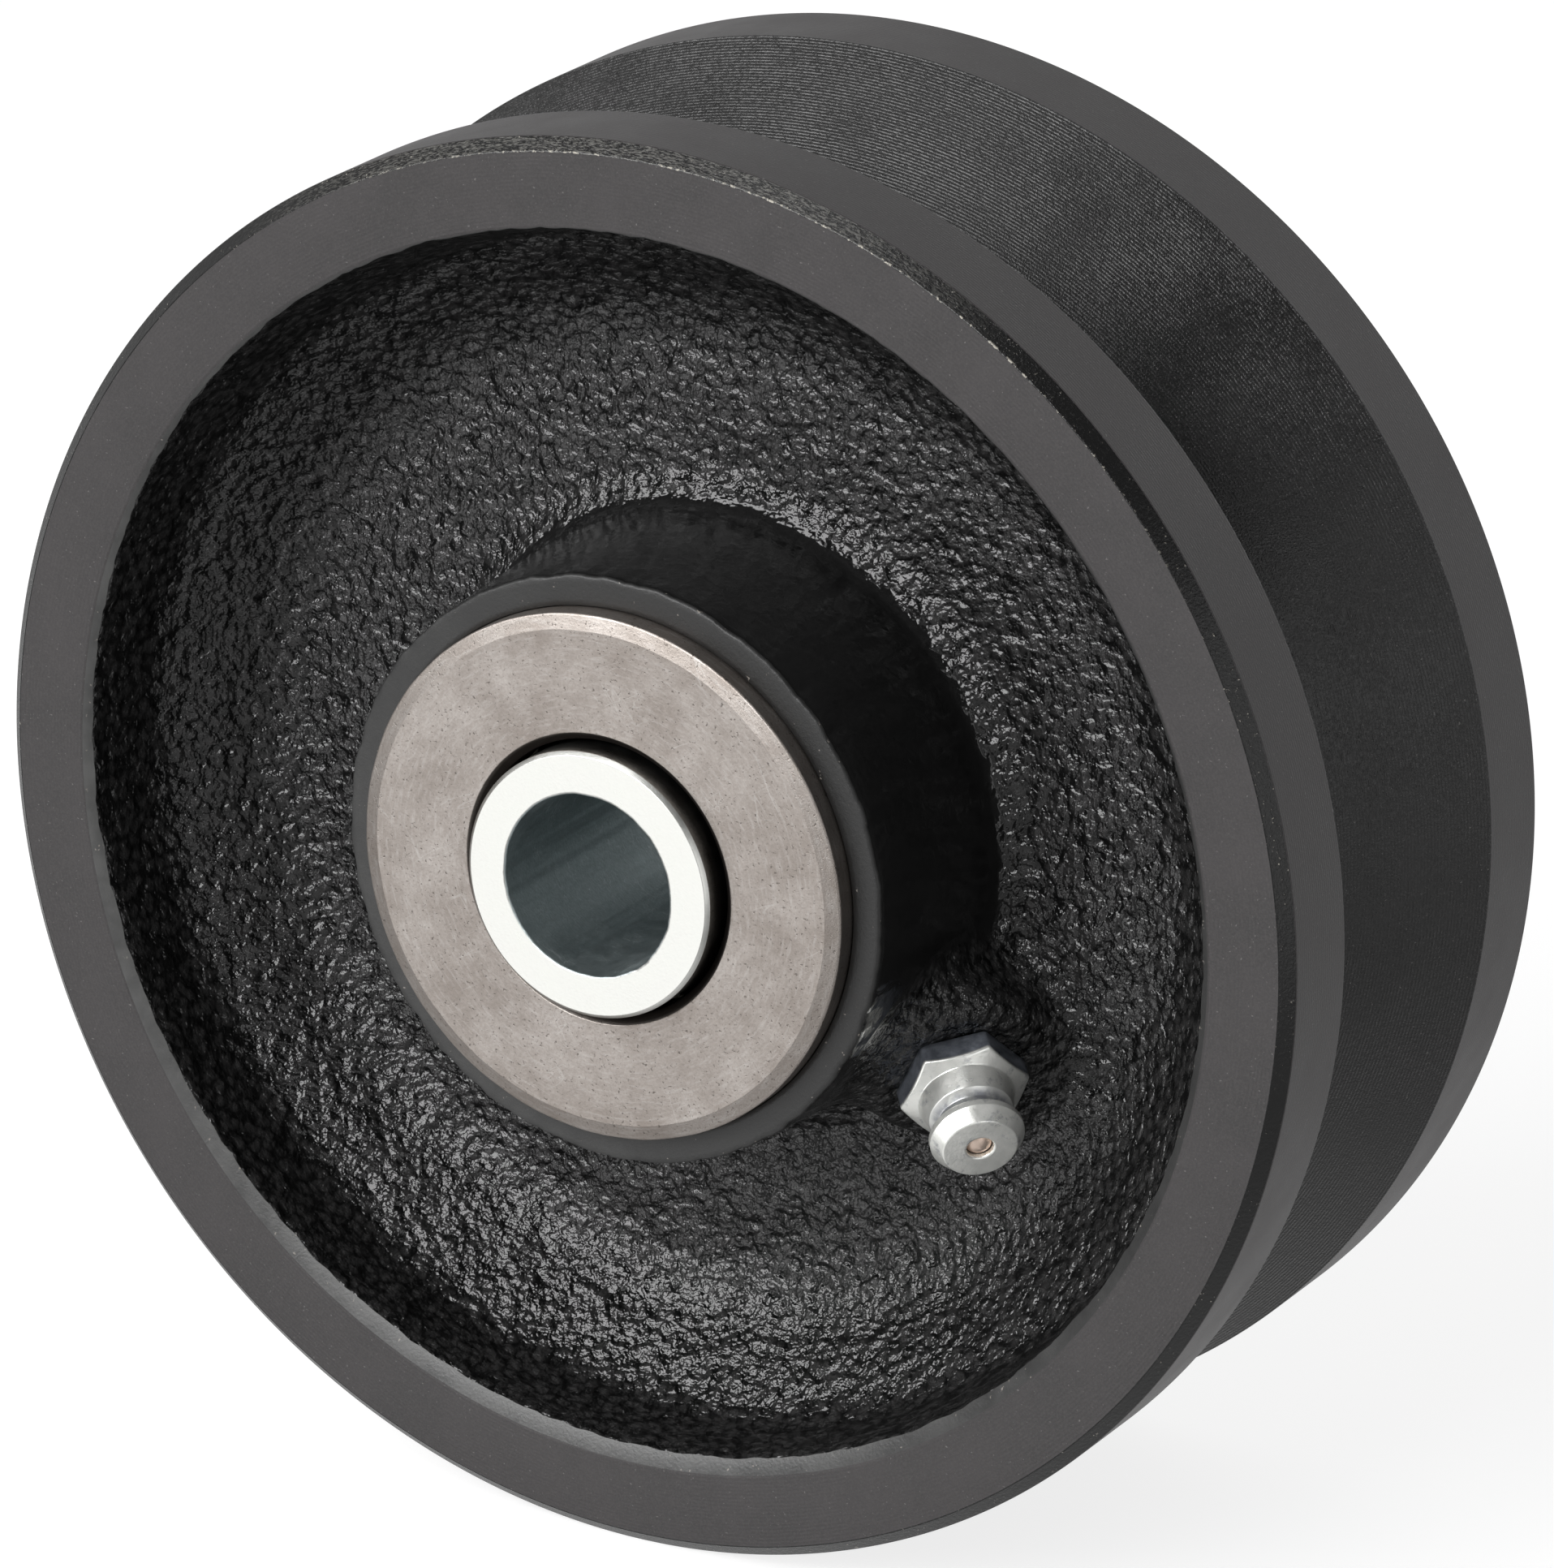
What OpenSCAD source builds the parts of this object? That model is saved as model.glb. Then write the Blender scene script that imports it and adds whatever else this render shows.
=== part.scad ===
// Cast-iron V-groove gate wheel that runs on a caged roller bearing.
// The wheel spins about Y, its front face looks along -Y, and the origin is its centre.
// All sizes are in millimetres and degrees.

/* [Tread and rim] */
// Diameter of the two flat treads
tread_d = 101.6; // [99:0.1:105]
// Width of the rim between its side faces
rim_w = 38.1; // [36:0.1:42]
// Width of the V groove at the tread
groove_w = 22.4; // [18:0.1:24]
// Width of the flat at the bottom of the groove
groove_root_w = 2; // [1:0.1:4]
// Chamfer on the outer edges of the rim
rim_chamfer = 0.9; // [0.4:0.1:1.2]
// Diameter where the machined side face starts
rim_face_d = 89.4; // [88:0.1:91]
// Diameter of the cast recess at the side face
recess_d = 87.6; // [86:0.1:88]
// Depth of the bevel between the side face and the recess
recess_bevel = 0.45; // [0.1:0.05:0.5]
// Distance from the middle of the wheel to the foot of the steep recess wall
recess_bend_h = 12; // [11:0.1:13]
// Diameter at the foot of the steep recess wall
recess_bend_d = 86; // [85:0.1:86.5]

/* [Web and hub] */
// Thickness of the web between hub and rim
web_t = 10.4; // [9:0.1:12]
// Fillet between the web and the sloping rim wall
web_rim_fillet = 8.5; // [5:0.1:9]
// Fillet between the web and the hub
web_hub_fillet = 3; // [1.5:0.1:4]
// Diameter of the hub at its end faces
hub_d = 42; // [41:0.1:43]
// Diameter of the hub where it meets the web
hub_root_d = 44; // [43.2:0.1:45]
// Length of the hub between its end faces
hub_l = 42; // [41:0.1:43]
// Diameter of the bearing bore through the hub
bearing_bore_d = 30.16; // [30.14:0.01:30.24]

/* [Bushing] */
// Outer diameter of the bushing, the inner race of the rollers
bushing_d = 19.05; // [18.98:0.01:19.06]
// Diameter of the axle hole
axle_hole_d = 13; // [12:0.1:14]
// Length of the bushing
bushing_l = 48.5; // [47:0.1:50]
// Chamfer on the edges of the bushing
bushing_chamfer = 0.3; // [0.1:0.05:0.5]

/* [Retaining washers] */
// Outer diameter of each washer
washer_d = 37.6; // [36:0.1:38.2]
// Inner diameter of each washer
washer_hole_d = 19.7; // [19.5:0.1:20.5]
// Thickness of each washer
washer_t = 3.2; // [2.5:0.1:3.4]
// How far each washer stands out of its seat in the hub
washer_proud = 1.8; // [1:0.1:2]
// Width of the shallow bevel round the washer's outer edge
washer_bevel_w = 1.1; // [0.5:0.1:1.5]
// Depth of the bevel round the washer's outer edge
washer_bevel_t = 0.3; // [0.1:0.05:0.6]
// Chamfer at the mouth of the washer's hole
washer_hole_chamfer = 0.6; // [0.3:0.1:0.8]

/* [Roller bearing] */
// Diameter of each roller
roller_d = 5.5; // [5.44:0.01:5.52]
// Length of each roller
roller_l = 35.8; // [34:0.1:35.9]
// Thickness of each cage ring
cage_ring_t = 1.2; // [1:0.1:1.2]
// Diameter of each cage bar
cage_bar_d = 1.7; // [1.3:0.1:1.8]
// Diameter of the riveted ends of each cage bar
cage_tenon_d = 1.1; // [0.8:0.1:1.2]

/* [Grease fitting] */
// Angle of the fitting round the wheel, from +X towards +Z
fitting_angle = -34.5; // [-90:0.5:-20]
// Tilt of the fitting away from the wheel's axis
fitting_tilt = 47; // [44:0.5:50]
// Distance from the wheel's axis to the middle of the fitting's seat
fitting_seat_r = 25.7; // [25:0.1:26.5]
// Distance from the middle of the wheel to the middle of the fitting's seat
fitting_seat_h = 10; // [9.5:0.1:11]
// Diameter of the cast boss under the fitting
boss_d = 14; // [12:0.1:15]
// Width of the fitting's hexagon across its flats
hex_af = 7.94; // [7:0.01:8]
// Height of the hexagon's corners above its seat
hex_h = 1.6; // [1.4:0.1:2]
// Turn of the hexagon round the fitting's own axis
hex_turn = 39; // [0:1:59]
// Largest diameter of the nipple
nipple_d = 6.6; // [6.4:0.05:6.7]
// Height of the nipple's end above the hexagon
nipple_h = 5.3; // [5:0.1:5.6]
// Outer diameter of the fitting's thread
thread_d = 6.35; // [6:0.01:6.4]
// Diameter of the drilled grease passage
passage_d = 3; // [2:0.1:4]
// Diameter of the check ball
check_ball_d = 2.3; // [2.1:0.05:2.4]
// Travel of the check ball off its seat
check_ball_travel = 0.6; // [0.3:0.1:0.7]

/* [Hidden] */
$fn = 96;

roller_count = 10;
roller_pitch = 360 / roller_count;
roller_chamfer = 0.3;
pitch_r = (bearing_bore_d + bushing_d) / 4;

// How far a cutting shape reaches past the surface that it opens
over = 1;

// Clearances between pieces that fit together
seat_gap = 0.02;
roller_end_gap = 0.2;
cage_side_gap = 0.68;

// Rim and web, seen in a half section: r outwards and h towards a side face
tread_r = tread_d / 2;
rim_h = rim_w / 2;
groove_root_r = tread_r - (groove_w - groove_root_w) / 2;
web_h = web_t / 2;
hub_h = hub_l / 2;
washer_face_h = hub_h + washer_proud;
washer_seat_h = washer_face_h - washer_t;

// The 45-degree recess wall reaches the web at this radius
wall_foot_r = recess_bend_d / 2 - (recess_bend_h - web_h);
bend_fillet = 4;
arc_steps = 8;

// Steps along the fitting, from the hexagon's corners out to the nipple's end
hex_cone_h = 0.6;
collar_base_d = 6.7;
collar_h = 1.6;
collar_end_d = 5.9;
neck_step_h = 0.4;
neck_d = 4.8;
nipple_back_h = 0.5;
nipple_land_h = 0.5;
nipple_cone_h = 1;
nipple_end_d = 5.2;
nipple_end = hex_h + nipple_h;
thread_l = 5.5;
thread_pitch = 25.4 / 28;
thread_depth = 0.5;
thread_turns = 5;
thread_lead_in = 0.5;
thread_relief_h = 0.4;
tapped_hole_l = 6.4;
passage_end = -16.2;
boss_root = -8;
boss_round = 2;
boss_r = boss_d / 2;
chamber_d = 2.7;
ball_hole_d = 1.9;
ball_lip = 0.5;
ball_gap = 0.03;
ball_r = check_ball_d / 2;
ball_seat_drop = sqrt(ball_r * ball_r - ball_hole_d * ball_hole_d / 4);
ball_centre = nipple_end - ball_lip - ball_seat_drop - ball_gap;
outlet_d = 1.6;

// Spring under the check ball
spring_r = 0.85;
spring_wire_r = 0.15;
spring_turns = 5;
spring_steps = 16;
spring_sides = 8;
spring_foot = 2 * spring_wire_r + check_ball_travel;
spring_top = ball_centre - ball_r - spring_wire_r - seat_gap;

// Points of an arc that rounds the corner b between a and c
function unit(v) = v / norm(v);
function corner(a, b, c, r, n) =
    let (
        u = unit(a - b),
        v = unit(c - b),
        half = acos(u * v) / 2,
        centre = b + unit(u + v) * r / sin(half),
        p = b + u * r / tan(half) - centre,
        q = b + v * r / tan(half) - centre,
        turn = acos(unit(p) * unit(q)),
        way = sign(p[0] * q[1] - p[1] * q[0])
    )
    [for (i = [0:n])
        let (t = way * turn * i / n)
        centre + [p[0] * cos(t) - p[1] * sin(t), p[0] * sin(t) + p[1] * cos(t)]];

// One half of the casting's section, from the groove's root round to the hub's end face
function casting_half() =
    let (
        face_edge = [recess_d / 2, rim_h - recess_bevel],
        bend = [recess_bend_d / 2, recess_bend_h],
        foot = [wall_foot_r, web_h],
        hub_root = [hub_root_d / 2, web_h],
        hub_edge = [hub_d / 2, hub_h]
    )
    concat(
        [
            [groove_root_r, groove_root_w / 2],
            [tread_r, groove_w / 2],
            [tread_r, rim_h - rim_chamfer],
            [tread_r - rim_chamfer, rim_h],
            [rim_face_d / 2, rim_h],
            face_edge
        ],
        corner(face_edge, bend, foot, bend_fillet, arc_steps),
        corner(bend, foot, hub_root, web_rim_fillet, arc_steps),
        corner(foot, hub_root, hub_edge, web_hub_fillet, arc_steps),
        [hub_edge, [bearing_bore_d / 2 - over, hub_h]]
    );

// Turns a half section round the wheel's axis, with its second coordinate towards the front
module around_axle() {
    rotate([90, 0, 0])
        rotate_extrude($fn = 180)
            children();
}

// Moves a piece drawn round +Z to the seat of the grease fitting
module at_fitting() {
    rotate([0, -fitting_angle, 0])
        translate([fitting_seat_r, -fitting_seat_h, 0])
            rotate([0, 0, fitting_tilt])
                rotate([90, 0, 0])
                    children();
}

// A cylinder along the wheel's axis from rear height h0 to front height h1
module axial(r, h0, h1) {
    rotate([90, 0, 0])
        translate([0, 0, h0])
            cylinder(r = r, h = h1 - h0);
}

// Places a piece at the pitch circle, counted in roller pitches
module at_pitch(steps) {
    rotate([0, steps * roller_pitch, 0])
        translate([pitch_r, 0, 0])
            children();
}

module boss() {
    rotate_extrude()
        polygon(concat(
            [[0, boss_root], [boss_r, boss_root]],
            corner([boss_r, boss_root], [boss_r, 0], [0, 0], boss_round, arc_steps),
            [[0, 0]]
        ));
}

module wheel_casting() {
    half = casting_half();
    far_half = [for (i = [len(half) - 1:-1:0]) [half[i][0], -half[i][1]]];
    color([0.13, 0.13, 0.14])
        difference() {
            union() {
                around_axle()
                    polygon(concat(half, far_half));
                at_fitting()
                    boss();
            }
            axial(bearing_bore_d / 2, -hub_l, hub_l);
            for (side = [-1, 1])
                axial(washer_d / 2 + seat_gap, side > 0 ? washer_seat_h : -hub_l,
                    side > 0 ? hub_l : -washer_seat_h);
            at_fitting() {
                translate([0, 0, -tapped_hole_l])
                    cylinder(d = thread_d + 2 * seat_gap, h = tapped_hole_l + over);
                translate([0, 0, passage_end])
                    cylinder(d = passage_d, h = -tapped_hole_l - passage_end + over);
            }
        }
}

// A flat washer with its bevelled face towards the front
module retaining_washer() {
    inner = washer_face_h - washer_t;
    color([0.60, 0.57, 0.54])
        around_axle()
            polygon([
                [washer_hole_d / 2, inner],
                [washer_d / 2, inner],
                [washer_d / 2, washer_face_h - washer_bevel_t],
                [washer_d / 2 - washer_bevel_w, washer_face_h],
                [washer_hole_d / 2 + washer_hole_chamfer, washer_face_h],
                [washer_hole_d / 2, washer_face_h - washer_hole_chamfer]
            ]);
}

module spanner_bushing() {
    r0 = axle_hole_d / 2;
    r1 = bushing_d / 2;
    h = bushing_l / 2;
    c = bushing_chamfer;
    color([0.84, 0.86, 0.86])
        around_axle()
            polygon([
                [r0, c - h], [r0 + c, -h], [r1 - c, -h], [r1, c - h],
                [r1, h - c], [r1 - c, h], [r0 + c, h], [r0, h - c]
            ]);
}

module roller() {
    r = roller_d / 2;
    h = roller_l / 2;
    c = roller_chamfer;
    color([0.72, 0.73, 0.75])
        around_axle()
            polygon([[0, -h], [r - c, -h], [r, c - h], [r, h - c], [r - c, h], [0, h]]);
}

// A cage ring drawn from its inner face towards the front
module cage_ring() {
    inner = roller_l / 2 + roller_end_gap;
    color([0.66, 0.60, 0.45])
        difference() {
            axial(bearing_bore_d / 2 - cage_side_gap, inner, inner + cage_ring_t);
            axial(bushing_d / 2 + cage_side_gap, inner - over, inner + cage_ring_t + over);
            for (i = [1:roller_count])
                at_pitch(i + 0.5)
                    axial(cage_tenon_d / 2 + seat_gap, inner - over, inner + cage_ring_t + over);
        }
}

module cage_bar() {
    shoulder = roller_l / 2 + roller_end_gap;
    color([0.66, 0.60, 0.45]) {
        axial(cage_bar_d / 2, -shoulder, shoulder);
        axial(cage_tenon_d / 2, -shoulder - cage_ring_t, shoulder + cage_ring_t);
    }
}

// Half section of the fitting above its hexagon, from the collar to the nipple's flat end
function nipple_profile() =
    let (
        cone = nipple_end - nipple_cone_h,
        land = cone - nipple_land_h,
        back = land - nipple_back_h,
        collar_foot = hex_h + hex_cone_h,
        collar_end = collar_foot + collar_h
    )
    [
        [collar_base_d / 2, collar_foot],
        [collar_end_d / 2, collar_end],
        [neck_d / 2, collar_end + neck_step_h],
        [neck_d / 2, back],
        [nipple_d / 2, land],
        [nipple_d / 2, cone],
        [nipple_end_d / 2, nipple_end],
        [0, nipple_end]
    ];

// Half section of the threaded shank below the seat
function thread_profile() =
    concat(
        [[0, -thread_l], [thread_d / 2 - thread_depth, -thread_l]],
        [for (i = [0:thread_turns - 1])
            let (h = -thread_l + thread_lead_in + i * thread_pitch)
            each [
                [thread_d / 2 - thread_depth, h],
                [thread_d / 2, h + thread_pitch / 2]
            ]],
        [[thread_d / 2 - thread_depth, -thread_relief_h], [thread_d / 2 - thread_depth, hex_h]]
    );

module grease_fitting() {
    hex_r = hex_af / 2 / cos(30);
    color([0.80, 0.82, 0.82])
        at_fitting()
            difference() {
                union() {
                    rotate_extrude()
                        polygon(concat(thread_profile(), nipple_profile()));
                    intersection() {
                        rotate([0, 0, hex_turn])
                            cylinder(r = hex_r, h = hex_h + hex_cone_h, $fn = 6);
                        rotate_extrude()
                            polygon([
                                [0, 0], [hex_r, 0], [hex_r, hex_h],
                                [collar_base_d / 2, hex_h + hex_cone_h], [0, hex_h + hex_cone_h]
                            ]);
                    }
                }
                cylinder(d = chamber_d, h = nipple_end - ball_lip);
                translate([0, 0, -thread_l - over])
                    cylinder(d = outlet_d, h = thread_l + 2 * over);
                cylinder(d = ball_hole_d, h = nipple_end + over);
            }
}

module check_ball() {
    color([0.80, 0.56, 0.42])
        at_fitting()
            translate([0, 0, ball_centre])
                sphere(r = ball_r);
}

// Points of one ring of the spring's wire, at a fraction of the coil's whole length
function wire_ring(t) =
    let (
        a = 360 * spring_turns * t,
        out = [cos(a), sin(a), 0],
        middle = out * spring_r + [0, 0, spring_foot + (spring_top - spring_foot) * t]
    )
    [for (k = [0:spring_sides - 1])
        middle + spring_wire_r * (out * cos(360 * k / spring_sides) + [0, 0, sin(360 * k / spring_sides)])];

module check_spring() {
    rings = spring_turns * spring_steps;
    n = spring_sides;
    points = [for (i = [0:rings]) each wire_ring(i / rings)];
    sides = [for (i = [0:rings - 1], k = [0:n - 1])
        [i * n + k, i * n + (k + 1) % n, (i + 1) * n + (k + 1) % n, (i + 1) * n + k]];
    ends = [[for (k = [n - 1:-1:0]) k], [for (k = [0:n - 1]) rings * n + k]];
    color([0.60, 0.62, 0.64])
        at_fitting()
            polyhedron(points = points, faces = concat(sides, ends));
}

wheel_casting();
retaining_washer();  // front_retaining_washer
rotate([180, 0, 0]) retaining_washer();  // rear_retaining_washer
spanner_bushing();
cage_ring();  // cage_front_ring
mirror([0, 1, 0]) cage_ring();  // cage_rear_ring
for (i = [1:roller_count]) {
    at_pitch(i + 0.5) cage_bar();
    at_pitch(i) roller();
}
grease_fitting();
check_ball();
check_spring();
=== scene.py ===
import math

import bmesh
import bpy
import numpy as np
from mathutils import Matrix, Vector, noise


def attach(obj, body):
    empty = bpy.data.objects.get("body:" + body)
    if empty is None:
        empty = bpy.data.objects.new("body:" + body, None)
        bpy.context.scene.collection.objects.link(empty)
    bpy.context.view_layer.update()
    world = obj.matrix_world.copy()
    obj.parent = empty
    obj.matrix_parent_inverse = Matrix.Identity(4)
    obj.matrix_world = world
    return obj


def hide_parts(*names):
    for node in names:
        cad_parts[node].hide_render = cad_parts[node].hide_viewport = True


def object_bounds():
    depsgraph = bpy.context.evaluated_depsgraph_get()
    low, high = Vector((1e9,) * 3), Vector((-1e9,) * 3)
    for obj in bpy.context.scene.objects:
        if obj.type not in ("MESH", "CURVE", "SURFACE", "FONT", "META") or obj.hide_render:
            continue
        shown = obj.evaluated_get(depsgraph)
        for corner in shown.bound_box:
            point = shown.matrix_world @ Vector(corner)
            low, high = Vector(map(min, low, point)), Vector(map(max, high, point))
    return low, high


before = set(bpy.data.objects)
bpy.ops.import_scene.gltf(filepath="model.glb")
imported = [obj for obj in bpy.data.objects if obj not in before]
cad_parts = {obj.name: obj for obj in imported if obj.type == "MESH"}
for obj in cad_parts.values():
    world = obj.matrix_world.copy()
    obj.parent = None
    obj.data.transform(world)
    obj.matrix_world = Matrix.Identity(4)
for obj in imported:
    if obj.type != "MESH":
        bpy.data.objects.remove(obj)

# The wheel's looks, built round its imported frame. The frame has its origin at the wheel's
# centre, the axle along Y and the front face towards -Y. Lengths below are in millimetres
# unless a name says otherwise: r is the distance from the axle, and h the distance from the
# wheel's middle plane towards the front.
MM = 0.001
CAD_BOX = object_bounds()

# Rim, recess and hub, as in the CAD casting
TREAD_R = 50.8
RIM_H = 19.05
CHAMFER = 0.9
GROOVE_EDGE_H = 11.2
GROOVE_ROOT_R = 40.6
GROOVE_ROOT_H = 1.0
FACE_R = 44.7
RECESS_EDGE = (43.8, 18.6)
WALL_BEND = (43.0, 12.0)
WALL_FOOT = (36.2, 5.2)
HUB_ROOT = (22.0, 5.2)
RECESS_FILLETS = (3.0, 8.5, 4.0)
HUB_R = 21.0
HUB_H = 21.0
SEAT_R = 18.82
SEAT_H = 19.6
BORE_R = 15.08

# Columns round the casting and the turned pieces, and rows from hub to rim in each recess
COLUMNS = 480
TURNED_COLUMNS = 256
FRONT_ROWS = 98
REAR_ROWS = 38

# Ragged edge where the cast recess meets the bevel of the side face: its mean radius, how far
# it leans off centre and towards which angle, in front (1) and behind (-1), and the bevel's slope
EDGE_R = 44.05
EDGE_LEAN = 0.57
EDGE_LEAN_ANGLE = {1: 80, -1: 200}
BEVEL_SLOPE = 0.5
# Noise seed of each half
SKIN_SEED = {1: 11.3, -1: 47.9}

# Retaining washers and bushing
WASHER_R = 18.8
WASHER_HOLE_R = 9.85
WASHER_H = 22.8
WASHER_BEVEL = (1.1, 0.3)
WASHER_HOLE_CHAMFER = 0.6
BUSHING_R = 9.525
BUSHING_H = 24.25
BUSHING_CHAMFER = 0.27
AXLE_R = 6.5
# Larger bite in the axle hole's mouth: its angle and its width in radians
BITE_ANGLE = -0.75
BITE_WIDTH = 0.25

# Grease fitting: its place on the wheel, the boss under it, and its own shape
FITTING_ANGLE = math.radians(-34.5)
FITTING_TILT = math.radians(47)
FITTING_SEAT = (25.7, 10.0)
BOSS_R = 7.0
BOSS_ROUND = 2.0
BOSS_FILLET = 2.6
BOSS_SPREAD = math.radians(36)
HEX_R = 7.94 / 2
HEX_CORNER_R = HEX_R / math.cos(math.radians(30))
HEX_TURN = 39
HEX_H = 1.6
HEX_CONE_H = 0.6
HEX_EASE = 0.06
CONE_FOOT_R = 3.6
COLLAR_R = 3.35
NECK_H = 4.5
THREAD_L = 5.5
SHANK_R = 2.7
OUTLET_R = 0.8
# Collar, neck, nipple, ball hole and ball chamber, as (radius, height above the seat)
NIPPLE = [
    (COLLAR_R, 2.2), (2.95, 3.8), (2.4, 4.2), (2.4, 4.85), (3.3, 5.4), (3.3, 5.9),
    (2.6, 6.9), (0.95, 6.9), (0.95, 6.39), (1.35, 6.39), (1.35, 0.0),
]

# Camera: angles in degrees, distance and shifts across the view in metres
CAMERA_AZIMUTH = 29.839
CAMERA_ELEVATION = 19.778
CAMERA_DISTANCE = 0.6428
CAMERA_RIGHT = 0.00083
CAMERA_DOWN = 0.000188
CAMERA_LENS = 210.98

# Soft lights: direction from the wheel, distance, width, height (metres) and radiance
LIGHTS = {
    "key": ((-0.33, -0.77, 0.52), 0.8, 0.9, 0.48, 7.0),
    "top": ((-0.14, -0.45, 0.88), 0.8, 0.25, 0.2, 2.5),
    "front_left": ((-0.42, -0.85, -0.30), 0.9, 0.62, 0.55, 1.3),
    "right": ((0.80, -0.54, 0.06), 0.9, 0.35, 0.7, 1.0),
    "rear": ((0.0, 1.0, 0.05), 0.9, 0.5, 0.5, 1.2),
}
# Direction of the room's dark side, and half the floor's width in metres
DARK_SIDE = Vector((0.51, -0.57, 0.64)).normalized()
FLOOR_HALF = 6.0


def unit(v):
    return v / np.linalg.norm(v)


def polar(r, h, angle):
    """A point of the wheel frame from its radius, its height towards the front and its angle."""
    return np.stack(np.broadcast_arrays(r * np.cos(angle), -h, r * np.sin(angle)), axis=-1)


def smoothstep(low, high, value):
    t = np.clip((value - low) / (high - low), 0, 1)
    return t * t * (3 - 2 * t)


def noise_at(points, cell, seed):
    """Smooth noise from -1 to 1 at each point, with lumps about one cell wide."""
    flat = points.reshape(-1, 3) / cell + seed
    values = [noise.noise(Vector(p)) for p in flat.tolist()]
    return np.array(values).reshape(points.shape[:-1])


def rounded(path, radii, steps):
    """The path with each inner corner turned into an arc of its own radius."""
    path = [np.array(p, float) for p in path]
    out = [path[0]]
    for before, here, after, radius in zip(path, path[1:], path[2:], radii):
        u = unit(before - here)
        v = unit(after - here)
        half = math.acos(u @ v) / 2
        centre = here + unit(u + v) * radius / math.sin(half)
        start = here + u * radius / math.tan(half) - centre
        end = here + v * radius / math.tan(half) - centre
        turn = math.acos(unit(start) @ unit(end))
        for k in range(steps + 1):
            part = turn * k / steps
            out.append(centre + (math.sin(turn - part) * start + math.sin(part) * end) / math.sin(turn))
    out.append(path[-1])
    return np.array(out)


def spaced(path, count):
    """Count points at equal distances along a path."""
    length = np.concatenate([[0], np.cumsum(np.linalg.norm(np.diff(path, axis=0), axis=1))])
    at = np.linspace(0, length[-1], count)
    return np.stack([np.interp(at, length, path[:, k]) for k in range(path.shape[1])], axis=1)


def make_mesh(name, vertices, faces, materials, face_material, sharp=()):
    """A smooth-shaded object from vertices in millimetres, with sharp edges where asked."""
    mesh = bpy.data.meshes.new(name)
    mesh.from_pydata((vertices * MM).tolist(), [], faces)
    for material in materials:
        mesh.materials.append(material)
    mesh.polygons.foreach_set("material_index", face_material)
    work = bmesh.new()
    work.from_mesh(mesh)
    bmesh.ops.recalc_face_normals(work, faces=work.faces)
    for face in work.faces:
        face.smooth = True
    work.verts.ensure_lookup_table()
    for a, b in sharp:
        edge = work.edges.get((work.verts[a], work.verts[b]))
        edge.smooth = False
    work.to_mesh(mesh)
    work.free()
    piece = bpy.data.objects.new(name, mesh)
    bpy.context.scene.collection.objects.link(piece)
    return piece


def ring_mesh(name, grid, materials, row_material, sharp_rows=()):
    """A closed ring of quads from a grid of points, rows along its section, columns round it."""
    rows, columns = grid.shape[:2]
    faces = []
    face_material = []
    for i in range(rows):
        below = i * columns
        above = ((i + 1) % rows) * columns
        for j in range(columns):
            k = (j + 1) % columns
            faces.append((below + j, below + k, above + k, above + j))
        face_material += [row_material[i]] * columns
    sharp = [(i * columns + j, i * columns + (j + 1) % columns) for i in sharp_rows for j in range(columns)]
    return make_mesh(name, grid.reshape(-1, 3), faces, materials, face_material, sharp)


# ---------------------------------------------------------------- materials

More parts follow.
